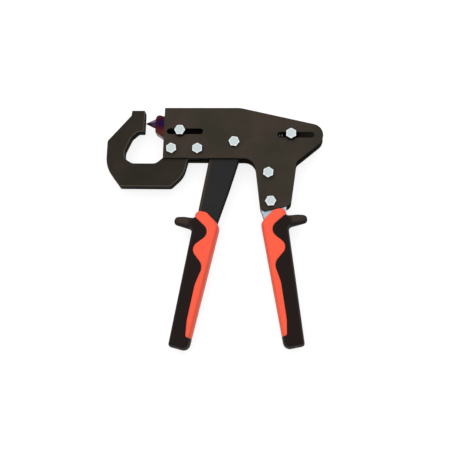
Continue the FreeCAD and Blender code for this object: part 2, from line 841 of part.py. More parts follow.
def make_nodes():
    fixed_core, fixed_cover = grip_solids(1, fixed_grip_place, fixed_grip_lean,
                                          handle_outline(), half_stack)
    lever_core, lever_cover = grip_solids(-1, lever_grip_place, lever_grip_lean,
                                          lever_outline(), lever_half)
    held = jaw_bolt_places + handle_bolt_places + [pivot]
    spacer_half = half_stack - channel_wall
    return {
        "front_side_plate": side_plate(half_stack, outer_face),
        "back_side_plate": side_plate(-outer_face, -outer_face),
        "anvil_jaw": jaw(),
        "jaw_bolts": frame_bolts(jaw_bolt_places, jaw_bolt_turns),
        "handle_bolts": frame_bolts(handle_bolt_places, handle_bolt_turns),
        "pivot_bolt": frame_bolts([pivot], [pivot_bolt_turn]),
        "jaw_lock_nuts": lock_nuts(jaw_bolt_places),
        "handle_lock_nuts": lock_nuts(handle_bolt_places),
        "pivot_lock_nut": lock_nuts([pivot]),
        "nut_inserts": group([nut_insert(place, -outer_face) for place in held]),
        "pivot_sleeve": tube(pivot, sleeve_diameter, bolt_diameter + 2 * running_gap, half_stack),
        "handle_spacers": group([tube(place, spacer_diameter, hole_diameter, spacer_half)
                                 for place in handle_bolt_places]),
        "fixed_handle_channel": handle_channel(),
        "fixed_grip_core": fixed_core,
        "fixed_grip_cover": fixed_cover,
        "spring_seat": spring_seat(),
        "lever_channel": lever_channel(),
        "drive_pin": upright(Vector(0, pin_arm, 0), drive_pin_diameter, -lever_half, lever_half),
        "lever_grip_core": lever_core,
        "lever_grip_cover": lever_cover,
        "ram_bar": ram(),
        "punch": punch(),
        "front_guide_bolt": guide_bolt(front_guide, guide_bolt_turns[0]),
        "rear_guide_bolt": guide_bolt(rear_guide, guide_bolt_turns[1]),
        "guide_washers": guide_washers(),
        "guide_nuts": guide_nuts(),
        "return_spring": return_spring(),
    }


def bottom_centre(nodes):
    """Middle of the whole tool's box, at the plane it rests on."""
    boxes = [shape.optimalBoundingBox(False, False) for shape in nodes.values()]
    x = (min(b.XMin for b in boxes) + max(b.XMax for b in boxes)) / 2
    y = (min(b.YMin for b in boxes) + max(b.YMax for b in boxes)) / 2
    return Vector(x, y, min(b.ZMin for b in boxes))


def main():
    os.makedirs("parts", exist_ok=True)
    nodes = make_nodes()
    origin = bottom_centre(nodes)
    for name, shape in nodes.items():
        shape.translate(origin * -1)
        shape.exportStep("parts/" + name + ".step")
        print(name, "solids", len(shape.Solids), "volume %.1f" % shape.Volume, shape.isValid())
    print("pivot at %.4f %.4f, middle plane at %.4f" % (-origin.x, -origin.y, -origin.z))
    print("ram travel per radian %.3f mm" % ram_mm_per_radian)


main()
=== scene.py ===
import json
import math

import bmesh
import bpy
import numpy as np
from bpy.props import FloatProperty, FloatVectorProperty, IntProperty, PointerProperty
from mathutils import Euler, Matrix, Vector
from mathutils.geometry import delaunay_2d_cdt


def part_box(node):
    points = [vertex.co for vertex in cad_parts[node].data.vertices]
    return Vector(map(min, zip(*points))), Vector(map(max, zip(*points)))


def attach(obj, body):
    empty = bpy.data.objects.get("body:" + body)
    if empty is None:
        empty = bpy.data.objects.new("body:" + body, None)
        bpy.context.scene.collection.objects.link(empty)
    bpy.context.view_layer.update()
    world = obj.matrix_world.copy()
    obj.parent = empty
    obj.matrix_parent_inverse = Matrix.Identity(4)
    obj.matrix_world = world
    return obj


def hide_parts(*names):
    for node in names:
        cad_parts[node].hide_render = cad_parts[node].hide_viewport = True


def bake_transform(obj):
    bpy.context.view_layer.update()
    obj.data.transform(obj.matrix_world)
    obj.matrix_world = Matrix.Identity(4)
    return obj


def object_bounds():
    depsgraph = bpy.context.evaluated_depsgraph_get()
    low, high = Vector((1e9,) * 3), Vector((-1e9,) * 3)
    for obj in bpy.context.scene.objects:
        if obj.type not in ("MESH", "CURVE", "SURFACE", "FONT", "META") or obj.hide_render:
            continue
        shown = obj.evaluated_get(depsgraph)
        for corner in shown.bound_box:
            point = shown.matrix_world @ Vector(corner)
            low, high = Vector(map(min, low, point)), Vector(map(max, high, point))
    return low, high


bl_info = {
    "name": "Section-setting plier",
    "version": (1, 0, 0),
    "blender": (4, 5, 0),
    "location": "3D View > Sidebar > Plier",
    "description": "Finishes, grips, bolts and spring of a one-hand section-setting plier",
    "category": "Object",
}

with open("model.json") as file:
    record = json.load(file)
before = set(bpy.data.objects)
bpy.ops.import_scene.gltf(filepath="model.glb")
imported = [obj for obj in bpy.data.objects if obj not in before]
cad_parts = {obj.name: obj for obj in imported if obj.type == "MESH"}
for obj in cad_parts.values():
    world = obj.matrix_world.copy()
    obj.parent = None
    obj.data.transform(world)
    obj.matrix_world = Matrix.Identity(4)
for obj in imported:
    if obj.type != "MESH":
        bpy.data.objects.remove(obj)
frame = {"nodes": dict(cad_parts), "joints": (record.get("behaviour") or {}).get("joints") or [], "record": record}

cad_low, cad_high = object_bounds()
MM = 0.001
joint_places = {joint["name"]: joint.get("pos_m") for joint in frame["joints"]}
pivot = Vector(joint_places["lever_pivot"])

# Grip outlines, in millimetres: down the grip's line, outwards from it, and the corner's radius.
# Each grip is a coral core and a black cover that meet in a wavy seam.
seam_start = (-11.9, 13.5, 0)
seam_end = (111.8, -10.7, 0)
mouth_corners = [(-18.9, 13.5, 5.0), (-18.9, 1.5, 5.0), (-7.6, -14.4, 9.0)]
guard_corners = [(-11.3, 13.5, 2.0), (-10.8, 25.0, 20.0), (-8.9, 33.8, 4.2), (-0.9, 33.8, 4.0),
                 (1.2, 13.4, 4.0)]
end_corners = [(123.6, 10.9, 3.0), (124.9, -10.3, 7.0)]
seam_corners = [(2.0, -8.2, 9.0), (22.3, 10.2, 8.5), (37.6, -7.1, 11.0), (58.0, -3.1, 40.0),
                (96.0, -3.2, 40.0), (111.8, -5.4, 2.5)]
# The guard takes over from the grip between the first two distances out from the line, and
# thins to its tip between the next two. A painted highlight lightens its middle between the two
# after those, and leaves a darker rim that fades over the last two, in from its edge.
guard_root = (11.5, 18.0)
guard_taper = (19.0, 34.0)
guard_highlight_span = (15.0, 20.0)
guard_highlight_rim = (0.8, 3.0)

# Bolts, in millimetres from the pivot, and the turn of each head in degrees
bolt_groups = {
    "jaw_bolts": [(-66.0, -7.7, 38.0), (-38.5, -7.7, 30.0)],
    "handle_bolts": [(36.4, -33.7, 25.0), (39.3, -64.4, 3.0)],
    "pivot_bolt": [(0.0, 0.0, -7.0)],
    "front_guide_bolt": [(-57.5, 12.0, 0.0)],
    "rear_guide_bolt": [(59.5, 8.4, 30.0)],
}
body_of_node = {node: body for body, nodes in frame["record"]["behaviour"]["bodies"].items()
                for node in nodes}


def linear(code):
    """Linear colour of an sRGB hex code such as #3A352F."""
    parts = [int(code[i:i + 2], 16) / 255 for i in (1, 3, 5)]
    return tuple(p / 12.92 if p <= 0.04045 else ((p + 0.055) / 1.055) ** 2.4 for p in parts)


class PlierGripSizes(bpy.types.PropertyGroup):
    lever_across: FloatProperty(name="Lever grip across", unit="LENGTH", default=-28.35 * MM,
                                description="Lever grip's reference point, across from the pivot")
    lever_down: FloatProperty(name="Lever grip down", unit="LENGTH", default=94.5 * MM,
                              description="Lever grip's reference point, down from the pivot")
    lever_lean: FloatProperty(name="Lever grip lean", unit="ROTATION", default=math.radians(10.4),
                              description="How far the lever's grip leans outwards")
    fixed_across: FloatProperty(name="Fixed grip across", unit="LENGTH", default=44.5 * MM,
                                description="Fixed grip's reference point, across from the pivot")
    fixed_down: FloatProperty(name="Fixed grip down", unit="LENGTH", default=90.6 * MM,
                              description="Fixed grip's reference point, down from the pivot")
    fixed_lean: FloatProperty(name="Fixed grip lean", unit="ROTATION", default=math.radians(9.5),
                              description="How far the fixed grip leans outwards")
    thickness: FloatProperty(name="Thickness", unit="LENGTH", default=21.8 * MM,
                             description="Through the grip from face to face")
    guard_thickness: FloatProperty(name="Guard thickness", unit="LENGTH", default=15.5 * MM,
                                   description="Through the finger guard near its root")
    guard_tip: FloatProperty(name="Guard tip thickness", unit="LENGTH", default=11.0 * MM,
                             description="Through the finger guard at its tip")
    side_round: FloatProperty(name="Side rounding", unit="LENGTH", default=3.8 * MM,
                              description="How far the rounding of the sides reaches in")
    guard_round: FloatProperty(name="Guard rounding", unit="LENGTH", default=5.6 * MM,
                               description="How far the rounding of the guard reaches in")
    mouth_round: FloatProperty(name="Mouth rounding", unit="LENGTH", default=1.8 * MM,
                               description="Rounding of the edge that the metal handle enters")
    crown: FloatProperty(name="Crown", default=0.03, min=0.0, max=0.3,
                         description="Share of the thickness by which the faces are domed")
    seam_depth: FloatProperty(name="Seam depth", unit="LENGTH", default=0.45 * MM,
                              description="Depth of the groove between the two mouldings")
    seam_width: FloatProperty(name="Seam width", unit="LENGTH", default=0.5 * MM,
                              description="How far the groove's lips are rounded")
    spacing: FloatProperty(name="Mesh spacing", unit="LENGTH", default=0.9 * MM,
                           description="Distance between points along the outlines")


class PlierBoltSizes(bpy.types.PropertyGroup):
    diameter: FloatProperty(name="Thread diameter", unit="LENGTH", default=6.0 * MM,
                            description="Outside diameter of the thread")
    hex_width: FloatProperty(name="Width across flats", unit="LENGTH", default=10.0 * MM,
                             description="Width of the head across its flats")
    head_height: FloatProperty(name="Head height", unit="LENGTH", default=4.0 * MM,
                               description="Height of the hexagon head")
    dish_depth: FloatProperty(name="Dish depth", unit="LENGTH", default=0.35 * MM,
                              description="Depth of the forged dish in the head's top")
    pitch: FloatProperty(name="Thread pitch", unit="LENGTH", default=1.0 * MM,
                         description="Distance from one thread to the next")
    thread_length: FloatProperty(name="Thread length", unit="LENGTH", default=8.0 * MM,
                                 description="Length of the cut thread at the bolt's end")


class PlierSpringSizes(bpy.types.PropertyGroup):
    wire: FloatProperty(name="Wire", unit="LENGTH", default=1.2 * MM,
                        description="Diameter of the spring's wire")
    turns: FloatProperty(name="Turns", default=10.75, min=3.0,
                         description="Turns of the coil, its two closed ends included")
    end_pitch: FloatProperty(name="End pitch", unit="LENGTH", default=1.7 * MM,
                             description="Rise of each closed end turn")
    steps: IntProperty(name="Steps per turn", default=24, min=8,
                       description="Points of the coil's line for each turn")


class PlierStageSizes(bpy.types.PropertyGroup):
    camera_offset: FloatVectorProperty(name="Camera from pivot", size=3, unit="LENGTH",
                                       subtype="TRANSLATION",
                                       default=(61.6 * MM, -301.7 * MM, 851.0 * MM),
                                       description="Camera's place from the lever's pivot")
    camera_turn: FloatVectorProperty(name="Camera turn", size=3, subtype="EULER",
                                     default=[math.radians(a) for a in (13.94, 3.98, 1.61)],
                                     description="Camera's rotation from looking straight down")
    lens: FloatProperty(name="Lens", default=66.8, subtype="DISTANCE_CAMERA",
                        description="Focal length on a 36 mm sensor")
    floor_size: FloatProperty(name="Floor size", unit="LENGTH", default=4.0,
                              description="Side of the square floor")
    key_power: FloatProperty(name="Key light", unit="POWER", default=34.5,
                             description="Power of the large soft light overhead")
    key_size: FloatProperty(name="Key light's size", unit="LENGTH", default=3.0,
                            description="Side of the square soft light")
    key_place: FloatVectorProperty(name="Key light's place", size=3, unit="LENGTH",
                                   subtype="TRANSLATION", default=(-0.1, 0.6, 1.9),
                                   description="Middle of the soft light, from the floor's middle")
    sky: FloatProperty(name="Sky", default=0.55, min=0.0,
                       description="Strength of the sky's even light on dull surfaces")


class PlierColours(bpy.types.PropertyGroup):
    plate: FloatVectorProperty(name="Plates", subtype="COLOR", default=linear("#3A342E"),
                               description="Phosphated side plates")
    jaw: FloatVectorProperty(name="Jaw", subtype="COLOR", default=linear("#2F2A25"),
                             description="Phosphated forged jaw")
    zinc: FloatVectorProperty(name="Bright zinc", subtype="COLOR", default=linear("#F0F4F3"),
                              description="Plated bolts and nuts")
    handle: FloatVectorProperty(name="Zinc sheet", subtype="COLOR", default=linear("#B4C6CE"),
                                description="Plated fixed handle")
    lever: FloatVectorProperty(name="Lever paint", subtype="COLOR", default=linear("#262525"),
                               description="Black paint of the moving lever")
    coral: FloatVectorProperty(name="Grip core", subtype="COLOR", default=linear("#FA5B3F"),
                               description="Coral core of the grips")
    rubber: FloatVectorProperty(name="Grip cover", subtype="COLOR", default=linear("#1D1412"),
                                description="Black soft cover of the grips")


def add(tree, kind, sockets=None, **settings):
    """Adds a node with its settings; sockets maps an input to a value or another node's output."""
    node = tree.nodes.new(kind)
    for name, value in settings.items():
        setattr(node, name, value)
    for key, value in (sockets or {}).items():
        if isinstance(value, bpy.types.NodeSocket):
            tree.links.new(value, node.inputs[key])
        else:
            node.inputs[key].default_value = value
    return node


def new_finish(name, **sockets):
    """A material with these constants on its shader, its node tree, and the place on the part."""
    material = bpy.data.materials.new(name)
    material.use_nodes = True
    tree = material.node_tree
    shader = tree.nodes["Principled BSDF"]
    for key, value in sockets.items():
        shader.inputs[key.replace("_", " ")].default_value = value
    place = add(tree, "ShaderNodeTexCoord").outputs["Object"]
    return material, tree, shader, place


def rgba(colour, share=1.0):
    """The colour with an alpha of 1, made lighter or darker by a share."""
    return (*[min(1.0, c * share) for c in colour], 1.0)


def link_finish(tree, shader, colour, pattern, rough, relief=None, normal=None):
    """Links a finish to its shader: the colour, and a roughness that follows a pattern.

    The relief is a height, its strength and its depth. The normal is the one that it stands on.
    """
    tree.links.new(colour, shader.inputs["Base Color"])
    spread = add(tree, "ShaderNodeMapRange", {"Value": pattern, "From Min": 0.3, "From Max": 0.7,
                                              "To Min": rough[0], "To Max": rough[1]})
    tree.links.new(spread.outputs["Result"], shader.inputs["Roughness"])
    if relief is not None:
        height, strength, depth = relief
        sockets = {"Height": height, "Strength": strength, "Distance": depth}
        if normal is not None:
            sockets["Normal"] = normal
        normal = add(tree, "ShaderNodeBump", sockets).outputs["Normal"]
    if normal is not None:
        tree.links.new(normal, shader.inputs["Normal"])


def phosphated_steel(name, colour, worn_and_highlit, rub_and_highlight, inner_shade_line):
    """Manganese-phosphated and oiled steel: fine dull crystals, cloudy tone, lightened edges.

    Painted shade: the cut sides are darkened nearly to black, and all of it that lies nearer to
    the tool's middle plane than the line given is darker too.
    """
    material, tree, shader, place = new_finish(name, Specular_IOR_Level=0.02)
    clouds = add(tree, "ShaderNodeTexNoise", {"Vector": place, "Scale": 1 / (38 * MM),
                                              "Detail": 3.0, "Roughness": 0.55})
    tone = add(tree, "ShaderNodeValToRGB", {"Fac": clouds.outputs["Fac"]})
    tone.color_ramp.elements[0].position = 0.36
    tone.color_ramp.elements[0].color = (colour[0] * 0.84, colour[1] * 0.94, colour[2] * 0.86, 1)
    tone.color_ramp.elements[1].position = 0.64
    tone.color_ramp.elements[1].color = (colour[0] * 1.22, colour[1] * 1.12, colour[2] * 1.12, 1)
    # The crystals are about 0.05 mm; they are drawn at 0.5 mm so that they show.
    grain = add(tree, "ShaderNodeTexNoise", {"Vector": place, "Scale": 1 / (0.5 * MM),
                                             "Detail": 4.0, "Roughness": 0.7})
    speckle = add(tree, "ShaderNodeMapRange", {"Value": grain.outputs["Fac"], "From Min": 0.3,
                                               "From Max": 0.7, "To Min": 0.82, "To Max": 1.18})
    mixed = add(tree, "ShaderNodeVectorMath", {0: tone.outputs["Color"],
                                               1: speckle.outputs["Result"]}, operation="MULTIPLY")
    soft = add(tree, "ShaderNodeBevel", {"Radius": 0.35 * MM}, samples=6)
    # The broken edges at 45 degrees between face and side are lightened to a line: rubbed wear and painted
    # highlight.
    hard = add(tree, "ShaderNodeNewGeometry")
    lie = add(tree, "ShaderNodeSeparateXYZ", {"Vector": hard.outputs["True Normal"]})
    steep = add(tree, "ShaderNodeMath", {0: lie.outputs["Z"]}, operation="ABSOLUTE")
    past = add(tree, "ShaderNodeMath", {0: steep.outputs["Value"], 1: math.cos(math.pi / 4)},
               operation="SUBTRACT")
    away = add(tree, "ShaderNodeMath", {0: past.outputs["Value"]}, operation="ABSOLUTE")
    edge = add(tree, "ShaderNodeMapRange", {"Value": away.outputs["Value"], "From Min": 0.2,
                                            "From Max": 0.1, "To Min": 0.0, "To Max": rub_and_highlight})
    rubbed_and_highlit = add(tree, "ShaderNodeMath", {0: edge.outputs["Result"], 1: grain.outputs["Fac"]},
                 operation="MULTIPLY", use_clamp=True)
    colour_out = add(tree, "ShaderNodeMix", {"Factor": rubbed_and_highlit.outputs["Value"],
                                             "A": mixed.outputs["Vector"],
                                             "B": rgba(worn_and_highlit)}, data_type="RGBA")
    # Painted shade: all that lies between the plates, nearer to the middle plane than the line, is darker.
    offset = add(tree, "ShaderNodeVectorMath", {0: place, 1: pivot}, operation="SUBTRACT")
    level = add(tree, "ShaderNodeSeparateXYZ", {"Vector": offset.outputs["Vector"]})
    depth = add(tree, "ShaderNodeMath", {0: level.outputs["Z"]}, operation="ABSOLUTE")
    painted_shade_share = add(tree, "ShaderNodeMapRange", {"Value": depth.outputs["Value"],
                                             "From Min": inner_shade_line,
                                             "From Max": inner_shade_line + 0.4 * MM,
                                             "To Min": 0.6, "To Max": 1.0})
    # Painted shade: the upright cut sides are darkened nearly to black.
    facing = add(tree, "ShaderNodeSeparateXYZ", {"Vector": soft.outputs["Normal"]})
    upright = add(tree, "ShaderNodeMath", {0: facing.outputs["Z"]}, operation="ABSOLUTE")
    side_shade_share = add(tree, "ShaderNodeMapRange", {"Value": upright.outputs["Value"], "From Min": 0.1,
                                             "From Max": 0.6, "To Min": 0.05, "To Max": 1.0})
    painted_shade_share = add(tree, "ShaderNodeMath", {0: painted_shade_share.outputs["Result"], 1: side_shade_share.outputs["Result"]},
                operation="MULTIPLY")
    shown = add(tree, "ShaderNodeVectorMath", {0: colour_out.outputs["Result"],
                                               "Scale": painted_shade_share.outputs["Value"]}, operation="SCALE")
    link_finish(tree, shader, shown.outputs["Vector"], clouds.outputs["Fac"], (0.5, 0.64),
                (grain.outputs["Fac"], 0.25, 0.05 * MM), soft.outputs["Normal"])
    return material


def bright_zinc(colour):
    """Electroplated zinc with a clear bluish passivate: bright, a little cloudy, finely tumbled."""
    material, tree, shader, place = new_finish("bright_zinc_plated", Metallic=1.0)
    clouds = add(tree, "ShaderNodeTexNoise", {"Vector": place, "Scale": 1 / (3.0 * MM),
                                              "Detail": 3.0})
    tint = add(tree, "ShaderNodeMix", {"Factor": clouds.outputs["Fac"], "A": rgba(colour, 0.96),
                                       "B": rgba(colour, 1.06)}, data_type="RGBA")
    # Painted reflection: the forged dish of a head is duller and bluer than its rim and sides, for what its flat
    # middle mirrors.
    dish = add(tree, "ShaderNodeAttribute", attribute_name="dish")
    skin = add(tree, "ShaderNodeMix", {"Factor": dish.outputs["Fac"],
                                       "A": tint.outputs["Result"],
                                       "B": rgba(linear("#CCD8DA"))}, data_type="RGBA")
    # Painted reflection: the upright sides are darkened for the dark plate that they mirror.
    soft = add(tree, "ShaderNodeBevel", {"Radius": 0.25 * MM}, samples=6)
    facing = add(tree, "ShaderNodeSeparateXYZ", {"Vector": soft.outputs["Normal"]})
    shade = add(tree, "ShaderNodeMapRange", {"Value": facing.outputs["Z"], "From Min": 0.1,
                                             "From Max": 0.6, "To Min": 0.3, "To Max": 1.0})
    shaded = add(tree, "ShaderNodeVectorMath", {0: skin.outputs["Result"],
                                                "Scale": shade.outputs["Result"]},
                 operation="SCALE")
    # Tumbling marks, drawn at 0.4 mm so that they show.
    marks = add(tree, "ShaderNodeTexNoise", {"Vector": place, "Scale": 1 / (0.4 * MM),
                                             "Detail": 2.0})
    link_finish(tree, shader, shaded.outputs["Vector"], clouds.outputs["Fac"], (0.22, 0.36),
                (marks.outputs["Fac"], 0.15, 0.04 * MM), soft.outputs["Normal"])
    return material


def zinc_sheet(colour):
    """Cold-rolled sheet, zinc plated and blue passivated: satin, with faint rolling streaks."""
    material, tree, shader, place = new_finish("zinc_plated_sheet", Metallic=1.0)
    stretched = add(tree, "ShaderNodeMapping", {"Vector": place, "Scale": (1.0, 0.08, 1.0)})
    streaks = add(tree, "ShaderNodeTexNoise", {"Vector": stretched.outputs["Vector"],
                                               "Scale": 1 / (0.7 * MM), "Detail": 3.0})
    tint = add(tree, "ShaderNodeMix", {"Factor": streaks.outputs["Fac"], "A": rgba(colour, 0.9),
                                       "B": rgba(colour, 1.1)}, data_type="RGBA")
    link_finish(tree, shader, tint.outputs["Result"], streaks.outputs["Fac"], (0.3, 0.42))
    return material


def lever_paint(colour):
    """Black stove enamel on pressed sheet: satin, with a light orange peel."""
    material, tree, shader, place = new_finish("black_stove_enamel", Specular_IOR_Level=0.06,
                                               Coat_Weight=0.04, Coat_Roughness=0.35)
    peel = add(tree, "ShaderNodeTexNoise", {"Vector": place, "Scale": 1 / (1.4 * MM),
                                            "Detail": 2.0})
    dust = add(tree, "ShaderNodeTexNoise", {"Vector": place, "Scale": 1 / (22 * MM),
                                            "Detail": 4.0})
    tint = add(tree, "ShaderNodeMix", {"Factor": dust.outputs["Fac"], "A": rgba(colour, 0.8),
                                       "B": rgba(colour, 1.2)}, data_type="RGBA")
    soft = add(tree, "ShaderNodeBevel", {"Radius": 0.4 * MM}, samples=6)
    # Painted highlight: the bend is lightened to a warm brown. Painted shade: the flat outer wall is darkened to
    # black.
    facing = add(tree, "ShaderNodeSeparateXYZ", {"Vector": soft.outputs["Normal"]})
    bend = add(tree, "ShaderNodeMapRange", {"Value": facing.outputs["X"], "From Min": -0.1,
                                            "From Max": -0.45})
    bend_highlight = add(tree, "ShaderNodeMix", {"Factor": bend.outputs["Result"],
                                       "A": tint.outputs["Result"],
                                       "B": rgba(linear("#40382F"))}, data_type="RGBA")
    wall = add(tree, "ShaderNodeMapRange", {"Value": facing.outputs["X"], "From Min": -0.75,
                                            "From Max": -0.92})
    highlit_and_shaded = add(tree, "ShaderNodeMix", {"Factor": wall.outputs["Result"],
                                         "A": bend_highlight.outputs["Result"],
                                         "B": rgba(linear("#0C0A09"))}, data_type="RGBA")
    link_finish(tree, shader, highlit_and_shaded.outputs["Result"], dust.outputs["Fac"], (0.4, 0.52),
                (peel.outputs["Fac"], 0.2, 0.06 * MM), soft.outputs["Normal"])
    return material


def coral_plastic(colour):
    """Injection-moulded polypropylene: solid colour, spark-eroded satin skin, faint flow marks."""
    material, tree, shader, place = new_finish("coral_polypropylene", IOR=1.49,
                                               Specular_IOR_Level=0.3)
    flow = add(tree, "ShaderNodeTexNoise", {"Vector": place, "Scale": 1 / (30 * MM),
                                            "Detail": 2.0})
    tint = add(tree, "ShaderNodeMix", {"Factor": flow.outputs["Fac"], "A": rgba(colour, 0.95),
                                       "B": rgba(colour, 1.04)}, data_type="RGBA")
    # Spark erosion is about 0.1 mm; it is drawn at 0.35 mm so that it shows.
    skin = add(tree, "ShaderNodeTexNoise", {"Vector": place, "Scale": 1 / (0.35 * MM),
                                            "Detail": 3.0, "Roughness": 0.6})
    link_finish(tree, shader, tint.outputs["Result"], skin.outputs["Fac"], (0.4, 0.5),
                (skin.outputs["Fac"], 0.2, 0.04 * MM))
    return material


def soft_rubber(colour):
    """Overmoulded thermoplastic elastomer: dull, slightly dusty sheen, fine leathery grain."""
    material, tree, shader, place = new_finish("black_elastomer", Specular_IOR_Level=0.08,
                                               Sheen_Weight=0.03, Sheen_Roughness=0.5)
    dust = add(tree, "ShaderNodeTexNoise", {"Vector": place, "Scale": 1 / (14 * MM),
                                            "Detail": 4.0})
    tint = add(tree, "ShaderNodeMix", {"Factor": dust.outputs["Fac"], "A": rgba(colour, 0.8),
                                       "B": rgba(colour, 1.25)}, data_type="RGBA")
    # Painted highlight: the middle of the guards is lighter, fading to a darker rim.
    guard_highlight = add(tree, "ShaderNodeAttribute", attribute_name="guard_highlight")
    highlit_guards = add(tree, "ShaderNodeMix", {"Factor": guard_highlight.outputs["Fac"],
                                        "A": tint.outputs["Result"],
                                        "B": rgba(linear("#3A302C"))}, data_type="RGBA")
    # The grain is about 0.2 mm; it is drawn at 0.6 mm so that it shows.
    grain = add(tree, "ShaderNodeTexVoronoi", {"Vector": place, "Scale": 1 / (0.6 * MM)},
                feature="SMOOTH_F1")
    link_finish(tree, shader, highlit_guards.outputs["Result"], dust.outputs["Fac"], (0.52, 0.64),
                (grain.outputs["Distance"], 0.25, 0.05 * MM))
    return material


def tempered_steel():
    """Hardened tool steel with temper colours: indigo at the heart, then maroon and red-brown."""
    material, tree, shader, place = new_finish("tempered_tool_steel", Metallic=1.0)
    low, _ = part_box("punch")
    heart = Vector((low.x + 17.7 * MM, pivot.y + 22.5 * MM, pivot.z))
    offset = add(tree, "ShaderNodeVectorMath", {0: place, 1: heart}, operation="SUBTRACT")
    ripple = add(tree, "ShaderNodeTexNoise", {"Vector": place, "Scale": 1 / (2.2 * MM),
                                              "Detail": 3.0})
    flat = add(tree, "ShaderNodeVectorMath", {0: offset.outputs["Vector"], 1: (1, 1, 0)},
               operation="MULTIPLY")
    distance = add(tree, "ShaderNodeVectorMath", {0: flat.outputs["Vector"]},
                   operation="LENGTH")
    uneven = add(tree, "ShaderNodeMapRange", {"Value": ripple.outputs["Fac"], "From Min": 0.3,
                                              "From Max": 0.7, "To Min": -1.6 * MM,
                                              "To Max": 1.6 * MM})
    reach = add(tree, "ShaderNodeMath", {0: distance.outputs["Value"],
                                         1: uneven.outputs["Result"]}, operation="ADD")
    share = add(tree, "ShaderNodeMapRange", {"Value": reach.outputs["Value"], "From Min": 0.0,
                                             "From Max": 16 * MM})
    colours = add(tree, "ShaderNodeValToRGB", {"Fac": share.outputs["Result"]})
    ramp = colours.color_ramp
    ramp.elements[0].color = rgba(linear("#261440"))
    ramp.elements[1].color = rgba(linear("#4B2C24"))
    for position, code in ((0.15, "#29143C"), (0.27, "#331533"), (0.38, "#461A28"),
                           (0.55, "#582A24")):
        ramp.elements.new(position).color = rgba(linear(code))
    # The point itself was ground again after tempering, and is greyer.
    ahead = add(tree, "ShaderNodeSeparateXYZ", {"Vector": offset.outputs["Vector"]})
    point = add(tree, "ShaderNodeMapRange", {"Value": ahead.outputs["X"], "From Min": -5.0 * MM,
                                             "From Max": -9.0 * MM})
    tinted = add(tree, "ShaderNodeMix", {"Factor": point.outputs["Result"],
                                         "A": colours.outputs["Color"],
                                         "B": rgba(linear("#574159"))}, data_type="RGBA")
    soft = add(tree, "ShaderNodeBevel", {"Radius": 0.3 * MM}, samples=6)
    link_finish(tree, shader, tinted.outputs["Result"], ripple.outputs["Fac"], (0.28, 0.42),
                normal=soft.outputs["Normal"])
    return material


def dark_steel(name, code):
    """Blackened and oiled machined steel: dark, with fine milling lines along the tool."""
    material, tree, shader, place = new_finish(name, Specular_IOR_Level=0.01)
    stretched = add(tree, "ShaderNodeMapping", {"Vector": place, "Scale": (0.05, 1.0, 1.0)})
    lines = add(tree, "ShaderNodeTexNoise", {"Vector": stretched.outputs["Vector"],
                                             "Scale": 1 / (0.6 * MM), "Detail": 2.0})
    colour = linear(code)
    tint = add(tree, "ShaderNodeMix", {"Factor": lines.outputs["Fac"], "A": rgba(colour, 0.7),
                                       "B": rgba(colour, 1.3)}, data_type="RGBA")
    link_finish(tree, shader, tint.outputs["Result"], lines.outputs["Fac"], (0.44, 0.56))
    return material


def ground_steel(name, code):
    """Ground steel: bright grey with fine turning and grinding lines."""
    material, tree, shader, place = new_finish(name, Metallic=1.0)
    stretched = add(tree, "ShaderNodeMapping", {"Vector": place, "Scale": (1.0, 1.0, 12.0)})
    lines = add(tree, "ShaderNodeTexNoise", {"Vector": stretched.outputs["Vector"],
                                             "Scale": 1 / (1.5 * MM), "Detail": 2.0})
    colour = linear(code)
    tint = add(tree, "ShaderNodeMix", {"Factor": lines.outputs["Fac"], "A": rgba(colour, 0.85),
                                       "B": rgba(colour, 1.1)}, data_type="RGBA")
    link_finish(tree, shader, tint.outputs["Result"], lines.outputs["Fac"], (0.24, 0.38))
    return material


def nylon():
    """Natural nylon of the lock nuts' rings: milky and a little translucent."""
    material, tree, shader, place = new_finish("natural_nylon", Roughness=0.45, IOR=1.53,
                                               Subsurface_Weight=0.15, Subsurface_Scale=1 * MM)
    cloud = add(tree, "ShaderNodeTexNoise", {"Vector": place, "Scale": 1 / (4 * MM)})
    tint = add(tree, "ShaderNodeMix", {"Factor": cloud.outputs["Fac"],
                                       "A": rgba(linear("#C9CDCB")), "B": rgba(linear("#E2E4E0"))},
               data_type="RGBA")
    tree.links.new(tint.outputs["Result"], shader.inputs["Base Color"])
    return material


def paint_node(node, material):
    """Gives a finish to a CAD piece that stays."""
    for slot in frame["nodes"][node].material_slots:
        slot.material = material


def finish_piece(piece, node_names, body, material):
    """Gives a new piece its finish and its place among the CAD bodies."""
    piece.data.materials.clear()
    piece.data.materials.append(material)
    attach(piece, body)
    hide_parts(*node_names)


def add_mesh(name, bm, smooth_angle):
    """Turns a bmesh into an object of the scene, smooth but for edges over the angle."""
    bmesh.ops.recalc_face_normals(bm, faces=bm.faces)
    mesh = bpy.data.meshes.new(name)
    bm.to_mesh(mesh)
    bm.free()
    mesh.shade_smooth()
    mesh.set_sharp_from_angle(angle=math.radians(smooth_angle))
    piece = bpy.data.objects.new(name, mesh)
    bpy.context.scene.collection.objects.link(piece)
    return piece


